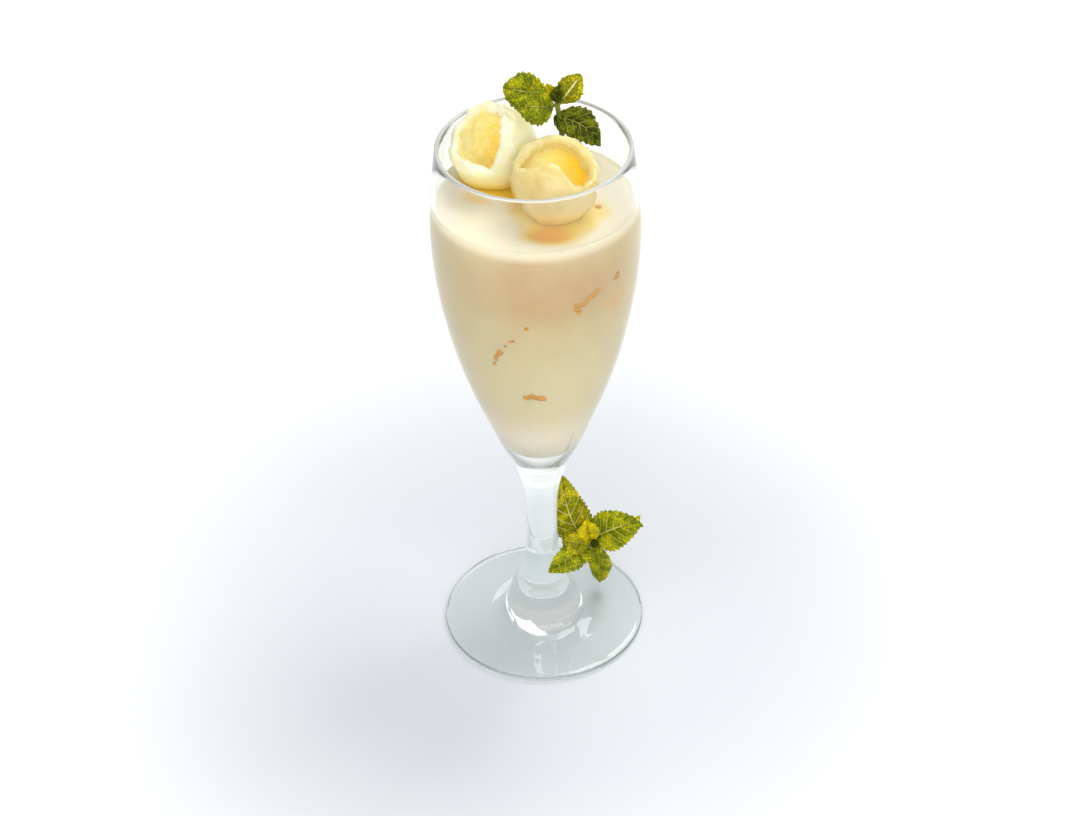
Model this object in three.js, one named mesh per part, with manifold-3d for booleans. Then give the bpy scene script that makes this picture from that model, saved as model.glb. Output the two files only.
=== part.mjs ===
// A stemmed parfait glass filled with pale cream. Two hollow, peeled lychees and a mint sprig top
// the cream, and a second sprig stands on the foot of the glass.
// Millimetres, +Z up, origin at the centre of the foot's underside.
import * as THREE from "three";
import { mergeVertices } from "three/addons/utils/BufferGeometryUtils.js";
import Module from "manifold-3d";

const wasm = await Module();
wasm.setup();

// ---- driving dimensions ----
const GLASS_HEIGHT = 188;
const NECK_HEIGHT = 69; // where the solid stem turns into the bowl
const BOWL_OUTLINE = [
  // height, outer radius
  [NECK_HEIGHT, 8.3],
  [72, 9.9],
  [78, 12.9],
  [88, 16.8],
  [100, 21.2],
  [115, 25.8],
  [130, 29.1],
  [145, 31.3],
  [160, 32.0],
  [174, 31.2],
  [GLASS_HEIGHT, 29.4],
];
const FOOT_AND_STEM = [
  // radius, height, from the foot's edge up to the neck
  [33.55, 1.2],
  [33.2, 2.0],
  [31.5, 2.4],
  [24, 3.0],
  [17, 4.0],
  [13.4, 6.0],
  [11.9, 10],
  [10.3, 15],
  [8.2, 20],
  [6.3, 26],
  [5.2, 35],
  [5.0, 46],
  [5.4, 54],
  [6.6, 61],
  [7.7, 65],
  [8.3, NECK_HEIGHT],
];
const FOOT_UNDERSIDE_RADIUS = 32.6;
const WALL = 1.5;
const RIM_THICKNESS = 2.0;
const RIM_BAND = 5; // the wall thickens over this height below the rim
const LIP_HEIGHT = GLASS_HEIGHT - RIM_THICKNESS / 2; // where the rounded rim starts
const HOLLOW_BOTTOM = 77.5;
const HOLLOW_BLEND_TOP = 98; // above this the inside follows the outside
const CREAM_LEVEL = 170.3;
const CREAM_EDGE = 0.7; // size of the bevel round the edge of its top
const GAP = 0.3; // between neighbouring pieces
const TURNS = 48; // facets round the glass and the cream

const LYCHEE_WALL = 6.4; // its thickness at the bottom of the hollow
const LYCHEE_LIP = 2.8; // its thickness at the torn rim
const LIP_OVERHANG = 1.035; // how far the torn rim rolls past its edge, as a share of the way to it
const BETWEEN_LYCHEES = 0.7 * GAP; // from each to the flat where they meet
const LYCHEE_TO_GLASS = 1.5 * GAP;
const TOUCH_HEIGHT = 0.35; // as a share of its radius, above its middle: the wall leans in up there
const LYCHEE_LUMPS = { broad: 0.016, narrow: 0.012 }; // as shares of its radius
const LYCHEES = {
  lychee_right: {
    centre: [6, -9.9, 182.4],
    radius: 13.1,
    axis: [0, 0, 1],
    side: [1, 0, 0],
    // direction round the axis and angle away from it of the torn rim, in degrees
    rim: [
      [0, 74], [20, 58], [45, 42], [90, 28], [135, 42], [160, 58], [185, 70], [205, 63],
      [222, 55], [240, 48], [262, 40], [275, 43], [284, 54], [292, 66], [302, 76], [325, 84],
    ],
    lumpPhase: 0.4,
  },
  lychee_left: {
    centre: [-12.1, 8.6, 182.6],
    radius: 13.2,
    axis: [-0.35, -0.51, 0.79],
    side: [1, 0, 0],
    rim: [
      [0, 38], [40, 47], [75, 56], [105, 66], [135, 75], [180, 74], [215, 62], [235, 55],
      [260, 58], [276, 66], [293, 55], [320, 44],
    ],
    lumpPhase: 2.1,
  },
};

const VIEW = [0, -0.78, 0.62]; // most leaves face the front and upwards
const LEAF_THICKNESS = 0.5;
const LEAF_TOOTH = 2.8; // length of leaf edge for each tooth
const PETIOLE_RADIUS = 0.6;
// Of each leaf: where it starts and ends, the side that its upper face shows, its full width, where
// along it that width lies, how far it arches, how far it sweeps sideways and how far its halves swell.
const SPRIGS = {
  mint_sprig_top: {
    stalk: [
      [9.6, 9.0, 166.5],
      [9.0, 8.4, 180],
      [7.6, 6.4, 194.5],
      [7.0, 6.0, 198.6],
    ],
    stalkRadius: 0.85,
    bud: { centre: [6.9, 5.8, 199.6], size: [1.7, 1.6, 1.9] },
    leaves: [
      {
        base: [5.3, 6.8, 200.6], tip: [-8.8, 12, 200.6], facing: VIEW,
        width: 12, widest: 0.55, bow: 1.2, cup: 0.8,
      },
      {
        base: [5.9, 5, 198], tip: [-5.4, 0, 201.7], facing: [-0.1, -0.68, 0.73],
        width: 11.5, widest: 0.45, bow: 1.9, cup: 1.2,
      },
      {
        base: [7.8, 7, 198.1], tip: [14.1, 11, 205.2], facing: [0.2, -0.8, 0.56],
        width: 8.4, widest: 0.5, bow: 0.7, cup: -0.9,
      },
      {
        base: [6.2, 6, 194], tip: [19.7, 2, 186.2], facing: [0.12, -0.7, 0.7],
        width: 10.8, widest: 0.42, bow: 1, sweep: -2.1, cup: 0.8,
      },
      {
        base: [6.2, 6, 201], tip: [4.2, 7.5, 204.3], facing: [0, -0.9, 0.3],
        width: 3.4, widest: 0.5, bow: 0.3, cup: 0.5,
      },
      {
        base: [7, 6, 201], tip: [8, 7, 204.4], facing: [0.3, -0.9, 0.3],
        width: 3, widest: 0.5, bow: 0.3, cup: 0.5,
      },
    ],
  },
  mint_sprig_foot: {
    stalk: [
      [20.3, 22.5, 4.3],
      [20.0, 16.0, 13],
      [18.2, 7.5, 24],
      [16.8, 3.6, 30],
    ],
    stalkRadius: 0.85,
    bud: { centre: [16.6, 2.6, 30.6], size: [2.1, 2.0, 2.1] },
    leaves: [
      {
        base: [11.9, 4, 30], tip: [7.2, 8, 54.4], facing: [0.1, -0.86, 0.5],
        width: 10.4, widest: 0.42, bow: 1, cup: 0.8,
      },
      {
        base: [18, 2.5, 31.3], tip: [33.3, -1.6, 42.3], facing: [0.15, -0.8, 0.58],
        width: 14, widest: 0.4, bow: 1.2, sweep: -1, cup: 1.1,
      },
      {
        base: [14.5, 1, 29.5], tip: [1.7, -8.6, 26.9], facing: [-0.35, -0.9, 0.32],
        width: 9.6, widest: 0.45, bow: 1.2, cup: 0.9,
      },
      {
        base: [17.6, 3, 27.5], tip: [19.6, 10.9, 4.1], facing: [0.1, -0.9, -0.1],
        width: 7.4, widest: 0.46, bow: 1.5, sweep: -0.8, cup: 0.8,
      },
      {
        base: [15.7, 1.5, 32.2], tip: [15, 0, 42], facing: [0, -0.86, 0.5],
        width: 5.6, widest: 0.5, bow: 0.9, cup: 0.8,
      },
      {
        base: [14.4, 1, 31], tip: [7.4, -1.6, 33.4], facing: VIEW,
        width: 6.2, widest: 0.45, bow: 0.9, cup: 0.8,
      },
      {
        base: [17, 0.8, 29.4], tip: [18.2, -2.2, 25], facing: [0.1, -0.8, 0.6],
        width: 5.8, widest: 0.4, bow: 0.7, cup: 0.7,
      },
    ],
  },
};

// ---- materials ----
const glassLook = new THREE.MeshStandardMaterial({ color: 0xe6efee, roughness: 0.03, metalness: 0 });
const creamLook = new THREE.MeshStandardMaterial({ color: 0xf3eacb, roughness: 0.45, metalness: 0 });
const lycheeLook = new THREE.MeshStandardMaterial({ color: 0xf2e3a4, roughness: 0.25, metalness: 0 });
const mintLook = new THREE.MeshStandardMaterial({ color: 0x93940c, roughness: 0.5, metalness: 0 });

// ---- helpers ----
const vector = (p) => new THREE.Vector3(...p);

// A smooth curve through [position, value] knots, read at any position.
function smoothValue(knots, position) {
  const last = knots.length - 1;
  let k = 0;
  while (k < last - 1 && position > knots[k + 1][0]) k += 1;
  const slope = (i) => {
    const before = knots[Math.max(i - 1, 0)];
    const after = knots[Math.min(i + 1, last)];
    return (after[1] - before[1]) / (after[0] - before[0]);
  };
  const span = knots[k + 1][0] - knots[k][0];
  const t = (position - knots[k][0]) / span;
  const rise = knots[k + 1][1] - knots[k][1];
  const a = slope(k) * span - rise;
  const b = rise - slope(k + 1) * span;
  return knots[k][1] + t * rise + t * (1 - t) * ((1 - t) * a + t * b);
}

// The same for knots round a circle, in degrees.
function smoothRound(knots, degrees) {
  const before = knots.slice(-2).map(([angle, value]) => [angle - 360, value]);
  const after = knots.slice(0, 2).map(([angle, value]) => [angle + 360, value]);
  return smoothValue([...before, ...knots, ...after], degrees);
}

// A closed body skinned over rings of points, shut by a single point at each end.
function skin(start, rings, end, flipsAt = () => false) {
  const around = rings[0].length;
  const positions = [start, ...rings.flat(), end].flatMap((p) => [p.x, p.y, p.z]);
  const at = (ring, k) => 1 + ring * around + (k % around);
  const index = [];
  for (let k = 0; k < around; k += 1) {
    index.push(0, at(0, k + 1), at(0, k));
    for (let ring = 0; ring < rings.length - 1; ring += 1) {
      const corners = [at(ring, k), at(ring, k + 1), at(ring + 1, k + 1), at(ring + 1, k)];
      const [a, b, c, d] = flipsAt(k) ? [corners[1], corners[2], corners[3], corners[0]] : corners;
      index.push(a, b, c, a, c, d);
    }
    index.push(positions.length / 3 - 1, at(rings.length - 1, k), at(rings.length - 1, k + 1));
  }
  const geometry = new THREE.BufferGeometry();
  geometry.setAttribute("position", new THREE.Float32BufferAttribute(positions, 3));
  geometry.setIndex(index);
  return geometry;
}

function toSolid(geometry) {
  const bare = geometry.clone();
  bare.deleteAttribute("normal");
  bare.deleteAttribute("uv");
  const merged = mergeVertices(bare, 1e-4);
  const vertProperties = merged.attributes.position.array;
  const solid = new wasm.Manifold(
    new wasm.Mesh({ numProp: 3, vertProperties, triVerts: new Uint32Array(merged.index.array) }),
  );
  if (solid.volume() > 0) return solid;
  const triVerts = new Uint32Array(merged.index.array).reverse();
  return new wasm.Manifold(new wasm.Mesh({ numProp: 3, vertProperties, triVerts }));
}

function toGeometry(solid) {
  const mesh = solid.getMesh();
  const geometry = new THREE.BufferGeometry();
  geometry.setAttribute("position", new THREE.BufferAttribute(mesh.vertProperties, 3));
  geometry.setIndex(new THREE.BufferAttribute(mesh.triVerts, 1));
  geometry.computeVertexNormals();
  return geometry;
}

function lathe(points) {
  const geometry = new THREE.LatheGeometry(
    points.map(([radius, height]) => new THREE.Vector2(radius, height)),
    TURNS,
  );
  return geometry.rotateX(Math.PI / 2);
}

// ---- glass and cream ----
const outerRadius = (height) => smoothValue(BOWL_OUTLINE, height);

// The inside follows the outside a wall's thickness away, and closes in a round bottom.
function innerRadius(height) {
  const thickening = THREE.MathUtils.smoothstep(height, GLASS_HEIGHT - RIM_BAND, GLASS_HEIGHT - 1);
  const wall = WALL + thickening * (RIM_THICKNESS - WALL);
  const depth = (HOLLOW_BLEND_TOP - height) / (HOLLOW_BLEND_TOP - HOLLOW_BOTTOM);
  const closing = depth > 0 ? Math.sqrt(Math.max(1 - depth ** 6, 0)) : 1;
  return (outerRadius(height) - wall) * closing;
}

// Heights up the inside, closest together in the round bottom. The glass and the cream share them,
// and one lies at the level of the cream.
function hollowHeights() {
  const roundSteps = 6;
  const heights = [];
  for (let step = 0; step < roundSteps; step += 1) {
    const share = Math.cos((step / roundSteps) * (Math.PI / 2)) ** 0.8;
    heights.push(HOLLOW_BLEND_TOP - share * (HOLLOW_BLEND_TOP - HOLLOW_BOTTOM));
  }
  const filledSteps = 7;
  for (let step = 0; step < filledSteps; step += 1) {
    heights.push(THREE.MathUtils.lerp(HOLLOW_BLEND_TOP, CREAM_LEVEL, step / filledSteps));
  }
  const emptySteps = 3;
  for (let step = 0; step <= emptySteps; step += 1) {
    heights.push(THREE.MathUtils.lerp(CREAM_LEVEL, LIP_HEIGHT, step / emptySteps));
  }
  return heights;
}

function makeGlass() {
  const stem = new THREE.SplineCurve(FOOT_AND_STEM.map(([r, z]) => new THREE.Vector2(r, z)));
  const outline = [[0, 0], [FOOT_UNDERSIDE_RADIUS, 0], [33.2, 0.35]];
  for (const { x, y } of stem.getPoints(17)) outline.push([x, y]);
  const bowlSteps = 12;
  for (let step = 1; step <= bowlSteps; step += 1) {
    const share = (step / bowlSteps) ** 1.25;
    const height = NECK_HEIGHT + share * (LIP_HEIGHT - NECK_HEIGHT);
    outline.push([outerRadius(height), height]);
  }
  const lipMiddle = outerRadius(LIP_HEIGHT) - RIM_THICKNESS / 2;
  for (const degrees of [45, 90, 135]) {
    const turn = THREE.MathUtils.degToRad(degrees);
    const reach = RIM_THICKNESS / 2;
    outline.push([lipMiddle + reach * Math.cos(turn), LIP_HEIGHT + reach * Math.sin(turn)]);
  }
  const inside = hollowHeights().map((height) => [innerRadius(height), height]);
  outline.push(...inside.reverse());
  return toSolid(lathe(outline));
}

function makeCream() {
  const step = 0.01;
  const outline = hollowHeights()
    .filter((height) => height < CREAM_LEVEL)
    .map((height) => {
      const lean = (innerRadius(height + step) - innerRadius(height)) / step;
      const away = GAP / Math.hypot(1, lean);
      return [Math.max(innerRadius(height) - away, 0), height + away * lean];
    });
  const edge = innerRadius(CREAM_LEVEL) - GAP;
  outline.push([edge, CREAM_LEVEL - CREAM_EDGE], [edge - CREAM_EDGE, CREAM_LEVEL], [0, CREAM_LEVEL]);
  return toSolid(lathe(outline));
}

// ---- lychees ----
// The soft fruits flatten where they lie against each other and against the glass: the directions of
// those flats, and how far each lies from the middle of the fruit.
function flatsOf(name) {
  const { centre } = LYCHEES[name];
  const flats = Object.keys(LYCHEES)
    .filter((other) => other !== name)
    .map((other) => {
      const toOther = vector(LYCHEES[other].centre).sub(vector(centre));
      const distance = toOther.length() / 2 - BETWEEN_LYCHEES;
      return { direction: toOther.clone().normalize(), distance };
    });
  const outward = new THREE.Vector3(centre[0], centre[1], 0);
  const wallRadius = innerRadius(centre[2] + TOUCH_HEIGHT * LYCHEES[name].radius);
  const distance = wallRadius - outward.length() - LYCHEE_TO_GLASS;
  flats.push({ direction: outward.normalize(), distance });
  return flats;
}

// A peeled, stoned fruit: a lumpy ball, hollow inside, open where its torn rim lies.
// With a margin and no hollow it is the shape of the dent that the fruit leaves in the cream.
function lycheeGeometry(name, margin, isHollow) {
  const { centre, radius, axis, side, rim, lumpPhase } = LYCHEES[name];
  const flats = flatsOf(name);
  const around = 36;
  const up = vector(axis).normalize();
  const right = vector(side).projectOnPlane(up).normalize();
  const ahead = new THREE.Vector3().crossVectors(up, right);
  const point = (turn, tilt, distance) => {
    const direction = right
      .clone()
      .multiplyScalar(Math.cos(turn))
      .addScaledVector(ahead, Math.sin(turn))
      .multiplyScalar(Math.sin(tilt))
      .addScaledVector(up, Math.cos(tilt));
    const lumps =
      LYCHEE_LUMPS.broad * Math.sin(3 * turn + lumpPhase) * Math.sin(tilt) ** 2 +
      LYCHEE_LUMPS.narrow * Math.sin(5 * turn - 2 * lumpPhase + 3 * tilt) * Math.sin(tilt);
    let reach = distance * (1 + lumps);
    for (const flat of flats) {
      const lean = direction.dot(flat.direction);
      if (lean > 0.5) reach = Math.min(reach, flat.distance / lean);
    }
    return direction.multiplyScalar(reach).add(vector(centre));
  };
  const ring = (share, distance) =>
    Array.from({ length: around }, (_, k) => {
      const turn = (k / around) * 2 * Math.PI;
      const edge = THREE.MathUtils.degToRad(smoothRound(rim, (k / around) * 360));
      return point(turn, Math.PI - share * (Math.PI - edge), distance);
    });
  const outside = radius + margin;
  const rings = [];
  const steps = 9;
  for (let step = 1; step <= steps; step += 1) rings.push(ring(step / steps, outside));
  if (!isHollow) return skin(point(0, Math.PI, outside), rings, point(0, 0, outside * 0.8));
  for (const across of [0.3, 0.7]) rings.push(ring(LIP_OVERHANG, radius - LYCHEE_LIP * across));
  const innerSteps = 6;
  for (let step = 0; step < innerSteps; step += 1) {
    const thickening = THREE.MathUtils.smoothstep(step / innerSteps, 0, 1);
    const wall = THREE.MathUtils.lerp(LYCHEE_LIP, LYCHEE_WALL, thickening);
    rings.push(ring(1 - step / innerSteps, radius - wall));
  }
  return skin(point(0, Math.PI, outside), rings, point(0, Math.PI, radius - LYCHEE_WALL));
}

// ---- mint ----
// A leaf between its base and its tip: pointed, toothed, with a sunken midrib and drooping margins.
function leafGeometry({ base, tip, facing, width, widest, bow, sweep = 0, cup }) {
  const along = vector(tip).sub(vector(base));
  const ahead = along.clone().normalize();
  const face = vector(facing).projectOnPlane(ahead).normalize();
  const across = new THREE.Vector3().crossVectors(ahead, face);
  const teeth = Math.max(3, Math.round(along.length() / LEAF_TOOTH));
  const steps = 2 * teeth;
  const sides = [-1, -0.55, 0, 0.55, 1];
  const fullness = Math.log(0.5) / Math.log(widest);

  const point = (step, side, upper) => {
    const share = step / steps;
    const tooth = step % 2 ? 1 : 0.91;
    const half = (width / 2) * Math.sin(Math.PI * share ** fullness) ** 0.8;
    const arch = 4 * share * (1 - share);
    const swelling = cup * (0.3 - 3.3 * (Math.abs(side) - 0.55) ** 2) * ((2 * half) / width);
    const wave = 0.25 * Math.sin(share * 19 + 2 * side) * Math.abs(side);
    const offset = (upper * LEAF_THICKNESS * (1 - 0.35 * Math.abs(side))) / 2;
    return vector(base)
      .addScaledVector(along, share)
      .addScaledVector(across, sweep * arch + half * side * (Math.abs(side) === 1 ? tooth : 1))
      .addScaledVector(face, bow * arch + swelling + wave + offset);
  };
  const rings = [];
  for (let step = 1; step < steps; step += 1) {
    const upperFace = sides.map((side) => point(step, side, 1));
    const lowerFace = sides.map((side) => point(step, side, -1)).reverse();
    rings.push([...upperFace, ...lowerFace]);
  }
  return skin(vector(base), rings, vector(tip), (k) => k >= sides.length);
}

function stalkGeometry(points, radius, steps, endRadius = radius) {
  const sides = 6;
  const curve = new THREE.CatmullRomCurve3(points.map(vector));
  const frames = curve.computeFrenetFrames(steps, false);
  const rings = [];
  for (let step = 0; step <= steps; step += 1) {
    const middle = curve.getPointAt(step / steps);
    const reach = THREE.MathUtils.lerp(radius, endRadius, step / steps);
    rings.push(
      Array.from({ length: sides }, (_, k) => {
        const turn = (k / sides) * 2 * Math.PI;
        return middle
          .clone()
          .addScaledVector(frames.normals[step], reach * Math.cos(turn))
          .addScaledVector(frames.binormals[step], reach * Math.sin(turn));
      }),
    );
  }
  return skin(curve.getPointAt(0), rings, curve.getPointAt(1));
}

// A stalk with a bud on top, and leaves that hang on it by petioles.
function makeSprig({ stalk, stalkRadius, bud, leaves }) {
  const budGeometry = new THREE.SphereGeometry(1, 10, 8).scale(...bud.size).translate(...bud.centre);
  let sprig = toSolid(stalkGeometry(stalk, stalkRadius, 8)).add(toSolid(budGeometry));
  for (const leaf of leaves) {
    const joint = nearestStalkPoint(stalk, bud, leaf.base);
    const intoLeaf = vector(leaf.base).lerp(vector(leaf.tip), 0.15);
    const face = vector(leaf.facing).normalize();
    intoLeaf.addScaledVector(face, leaf.bow * 0.5 - leaf.cup * 0.4);
    const petiole = stalkGeometry([joint, intoLeaf.toArray()], PETIOLE_RADIUS, 1, LEAF_THICKNESS / 2);
    sprig = sprig.add(toSolid(petiole)).add(toSolid(leafGeometry(leaf)));
  }
  return sprig;
}

// A petiole starts in the bud, or in the stalk where the leaf lies below the bud.
function nearestStalkPoint(stalk, bud, base) {
  const budCentre = vector(bud.centre);
  const upperStalk = new THREE.Line3(vector(stalk.at(-2)), budCentre);
  return upperStalk.closestPointToPoint(vector(base), true, new THREE.Vector3()).toArray();
}

// ---- assembly ----
const parfait = new THREE.Group();

function addPiece(name, solid, material) {
  const mesh = new THREE.Mesh(toGeometry(solid), material);
  mesh.name = name;
  parfait.add(mesh);
}

addPiece("glass", makeGlass(), glassLook);

let cream = makeCream();
for (const name of Object.keys(LYCHEES)) {
  addPiece(name, toSolid(lycheeGeometry(name, 0, true)), lycheeLook);
  cream = cream.subtract(toSolid(lycheeGeometry(name, GAP, false)));
}
const topStalk = SPRIGS.mint_sprig_top;
const stalkHole = stalkGeometry(
  topStalk.stalk.map(([x, y, z], i) => [x, y, i === 0 ? z - GAP : z]),
  topStalk.stalkRadius + 1.3 * GAP,
  8,
);
cream = cream.subtract(toSolid(stalkHole));
addPiece("cream", cream, creamLook);

for (const [name, sprig] of Object.entries(SPRIGS)) addPiece(name, makeSprig(sprig), mintLook);

export default parfait;
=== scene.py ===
# A cream parfait in a stemmed glass, topped with two peeled lychees and a mint sprig. Another mint
# sprig stands on the foot of the glass. Sizes are in millimetres unless they say otherwise.
import math

import bpy
from mathutils import Matrix, Vector, noise


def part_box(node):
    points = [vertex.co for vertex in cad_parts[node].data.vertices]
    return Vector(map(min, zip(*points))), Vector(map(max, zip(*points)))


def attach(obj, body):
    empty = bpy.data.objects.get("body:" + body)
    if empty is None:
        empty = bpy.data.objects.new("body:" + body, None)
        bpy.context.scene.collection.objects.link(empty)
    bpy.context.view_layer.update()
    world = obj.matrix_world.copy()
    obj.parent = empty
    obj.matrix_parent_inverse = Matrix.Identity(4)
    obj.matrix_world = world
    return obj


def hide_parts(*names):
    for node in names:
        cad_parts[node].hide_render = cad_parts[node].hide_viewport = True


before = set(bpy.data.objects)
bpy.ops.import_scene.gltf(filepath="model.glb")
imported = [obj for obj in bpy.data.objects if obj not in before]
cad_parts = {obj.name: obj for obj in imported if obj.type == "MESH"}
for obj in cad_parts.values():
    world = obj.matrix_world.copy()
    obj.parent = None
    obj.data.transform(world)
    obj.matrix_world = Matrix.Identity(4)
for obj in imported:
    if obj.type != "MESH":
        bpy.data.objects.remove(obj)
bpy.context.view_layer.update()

MM = 0.001
UP = Vector((0, 0, 1))

# ---- the glass ----
GLASS_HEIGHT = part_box("glass")[1].z / MM
NECK_HEIGHT = 69  # where the solid stem turns into the bowl
BOWL_OUTLINE = [  # height, outer radius
    (NECK_HEIGHT, 8.3),
    (72, 9.9),
    (78, 12.9),
    (88, 16.8),
    (100, 21.2),
    (115, 25.8),
    (130, 29.1),
    (145, 31.3),
    (160, 32.0),
    (174, 31.2),
    (GLASS_HEIGHT, 29.4),
]
FOOT_AND_STEM = [  # radius, height, from the foot's edge up to the neck
    (33.55, 1.2),
    (33.2, 2.0),
    (31.5, 2.4),
    (24, 3.0),
    (17, 4.0),
    (13.4, 6.0),
    (11.9, 10),
    (10.3, 15),
    (8.2, 20),
    (6.3, 26),
    (5.2, 35),
    (5.0, 46),
    (5.4, 54),
    (6.6, 61),
    (7.7, 65),
    (8.3, NECK_HEIGHT),
]
FOOT_UNDERSIDE = [(0, 0), (32.6, 0), (33.2, 0.35)]  # radius, height
WALL = 1.5
RIM_THICKNESS = 1.35
RIM_BAND = 5  # over this height below the rim the wall comes to the rim's thickness
LIP_HEIGHT = GLASS_HEIGHT - RIM_THICKNESS / 2  # where the rounded rim starts
LIP_BAND = 0.2  # the lip's painted pale look starts this far below its curve
HOLLOW_BOTTOM = 77.5
HOLLOW_BLEND_TOP = 98  # above this the inside follows the outside
TURNS = 128  # steps round the glass and the cream
WELD = 0.002 * MM  # points that are closer together than this are merged

# ---- the cream ----
CREAM_LEVEL = 170.3
CREAM_IN_WALL = 0.12  # how far the cream reaches into the glass, so that no air shows between them
GAP = 0.3  # between neighbouring solids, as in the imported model
MENISCUS = 0.55  # how far the cream climbs the glass
CREAM_WAVES = 0.35  # how far its top rises and falls
CREAM_DRAWN_UP = 1.9  # how far cream and syrup climb each lychee
CREAM_LIT_TOP = 0xFDF0D6
CREAM_BOTTOM_LIT = 0xFFF4E6
CREAM_CLOUDS = 0xE9DDB4
SYRUP_STAIN = 0xF2D262
CREAM_SIDE_SHADE = [  # over which heights the side turns to which colour, going up: painted shade, darker up the side
    (82, 106, 0xE8DAB2),
    (106, 140, 0xDCCA9A),
]
# Spots of colour: centre, how far each axis is squeezed, radius of the full colour, radius where it
# has faded out, strength and colour
CREAM_SOAK_AND_SHADE = [
    # painted shade: a broad tan spot high on the front of the side
    ((3, -31, 158), (0.7, 1, 1.5), 8, 30, 0.9, 0xD2B07A),
    ((22.9, -19, 146.5), (1, 1, 0.8), 1.5, 5.5, 0.8, 0xE0BC78),
    ((19.5, -22.5, 147.5), (1, 1, 1), 0.6, 2.4, 0.7, 0xE0BC78),
]
CREAM_SYRUP_AND_SHADE = [
    ((-11, -0.5, 170.8), (0.42, 1.2, 1), 2, 6, 0.9, 0xF2CC40),
    ((-2, -7, 170.8), (0.7, 1.1, 1), 2, 6, 0.9, 0xF0C634),
    ((13.5, -15, 170.8), (1, 1, 1), 2, 6.5, 0.8, 0xF4D040),
    ((18, -8, 170.8), (1, 0.8, 1), 1.5, 6, 0.8, 0xF4D858),
    # the pool in front of the right lychee: syrup, and painted shade in its deep amber where the lychee
    # meets the cream
    ((4.4, -20.5, 171), (0.76, 1.35, 1), 4, 9, 0.9, 0xF6D02C),
    ((3.8, -20.8, 171), (0.8, 1.55, 1), 2.2, 6.8, 1.0, 0xF2B000),
    ((18.6, -6, 170.5), (1, 1, 1), 0.5, 1.7, 0.8, 0xC07A18),
]
FLECK_SEED = 1  # so that their lumps are the same each time
FLECK_SHOWS = 0.75  # the share of a fleck's radius that reaches into the glass, so that it shows
FLECK_LUMPS = 0.55  # how far a fleck's lumps reach, as a share of its radius
FLECK_LUMP_SIZE = 0.9  # how far apart they are
# Flecks against the glass: points as (degrees round from the front, height), and a radius
FLECKS = [
    ([(48, 155.8), (51, 154.8)], 1.5),
    ([(36, 153.8), (33, 152.6), (29.5, 152.1), (27, 150.6), (23, 150.2), (20.5, 151.4)], 0.95),
    ([(23.5, 150.4), (22, 149.2), (24.5, 147.4)], 1.0),
    ([(-5.6, 144.2), (-7, 143)], 0.75),
    ([(-14, 138.4), (-17, 137.6)], 0.7),
    ([(-19, 135.8), (-20.5, 135)], 0.6),
    ([(-22.5, 133), (-26, 130.5), (-27, 128.5)], 0.95),
    ([(-27.5, 127.5), (-29, 126)], 0.6),
    ([(-10, 113.2), (-6, 113.8), (-1, 113.4), (4.5, 112.6)], 1.35),
]

# ---- the lychees ----
LYCHEE_WALL = 6.4  # its thickness at the bottom of the hollow
LYCHEE_LIP = 2.8  # its thickness at the torn rim
BETWEEN_LYCHEES = 0.7 * GAP  # from each to the flat where they meet
LYCHEE_TO_GLASS = 1.5 * GAP
TOUCH_HEIGHT = 0.35  # as a share of its radius, above its middle: the wall leans in up there
BROAD_LUMPS, NARROW_LUMPS = 0.016, 0.012  # as shares of the radius
HOLLOW_FADE = 10  # the hollow's colours, with their painted shade and painted glow, come in over this distance below the rim
HOLLOW_PALE_AND_SHADE = (0xFFF6C0, 0xFFCE30)  # at its palest, and the deep yellow of its painted shade
SOAKED_FLESH = 0xE8BE34
LYCHEES = {
    "lychee_right": {
        "centre": (6, -9.9, 182.4),
        "radius": 13.1,
        "axis": (0, 0, 1),
        # direction round the axis and angle away from it of the torn rim, in degrees
        "rim": [(0, 74), (20, 58), (45, 42), (90, 28), (135, 42), (160, 58), (185, 70), (205, 63),
                (222, 55), (240, 48), (262, 40), (275, 43), (284, 54), (292, 66), (302, 76), (325, 84)],
        "lump_phase": 0.4,
        "painted_shade_centre": (8, 1, 3),  # from the centre, where the hollow's painted shade is the deepest yellow
        # the right lychee's flesh is painted darker: painted shade for how the light falls on it
        "flesh": (0xD6C894, 0xCCBA7A),
    },
    "lychee_left": {
        "centre": (-12.1, 8.6, 182.6),
        "radius": 13.2,
        "axis": (-0.35, -0.51, 0.79),
        "rim": [(0, 38), (40, 47), (75, 56), (105, 66), (135, 75), (180, 74), (215, 62), (235, 55),
                (260, 58), (276, 66), (293, 55), (320, 44)],
        "lump_phase": 2.1,
        "painted_shade_centre": (7, 1, -4),
        # the left lychee's flesh is painted paler: painted light for how the light falls on it
        "flesh": (0xFFF5CC, 0xFAEAB0),
    },
}

# ---- the mint ----
VIEW = (0, -0.78, 0.62)  # most leaves face the front and upwards
LEAF_THICKNESS = 0.42
LEAF_TOOTH = 1.7  # length of leaf for each tooth of its edge
TOOTH_DEPTH = 0.85
TOOTH_PEAK = 0.8  # where along itself a tooth is highest
LEAF_CELL = 1.0  # across the finest cells between its veins
SIDE_VEINS = 7.0  # pairs of side veins on a leaf
VEIN_SLANT = 0.28  # how far along the leaf a side vein runs before it meets the edge
LEAF_PUCKER = 0.5  # how far a leaf swells between its side veins
LEAF_WAVE = 0.3  # how far its edge rises and falls
MIDRIB_SINKS = 0.4
LEAF_TONES = {  # the cells, the grooves between them, which carry painted shade and random darker patches, and the ribs
    "young": (0xE2CC0C, 0xA49800, 0xF4E468),
    "fresh": (0xD4C408, 0x747400, 0xE8E08C),
    "grown": (0xCCC404, 0x606E00, 0xE0DA78),
    "dark": (0x7C8206, 0x2E3A00, 0xC4C458),
    "bud": (0x4C5602, 0x222C00, 0x6C7410),
}
STALK_RADII = (0.85, 0.8)  # at its foot and at its top
PETIOLE_RADII = (0.55, 0.2)
BUD_LEAFLETS = 7
GOLDEN_ANGLE = 2.4  # radians from one leaflet to the next
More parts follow.
